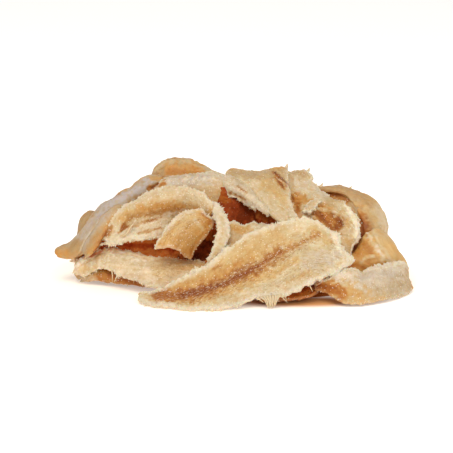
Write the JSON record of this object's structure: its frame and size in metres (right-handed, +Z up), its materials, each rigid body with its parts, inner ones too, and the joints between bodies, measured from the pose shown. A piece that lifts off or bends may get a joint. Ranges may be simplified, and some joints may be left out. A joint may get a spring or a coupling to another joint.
{
  "type": "shredded salted pollock heap",
  "caption": "Loose heap of thin dried salted fish strips, curled, cupped and leaning on one another, resting on its flat underside.",
  "frame": {"origin": "middle of the bounding box's bottom face, on the surface that the heap rests on", "axes": "+X along the heap's length, to the right as the picture shows it; +Y away from the viewer; +Z up"},
  "size_m": [0.1122, 0.0759, 0.0353],
  "materials": {
    "dried_fish": "dry fibrous flesh, cream at the torn rims and amber where thin, dusted with fine salt"
  },
  "bodies": {
    "root": {"pollock_heap": "dried_fish"}
  },
  "joints": []
}
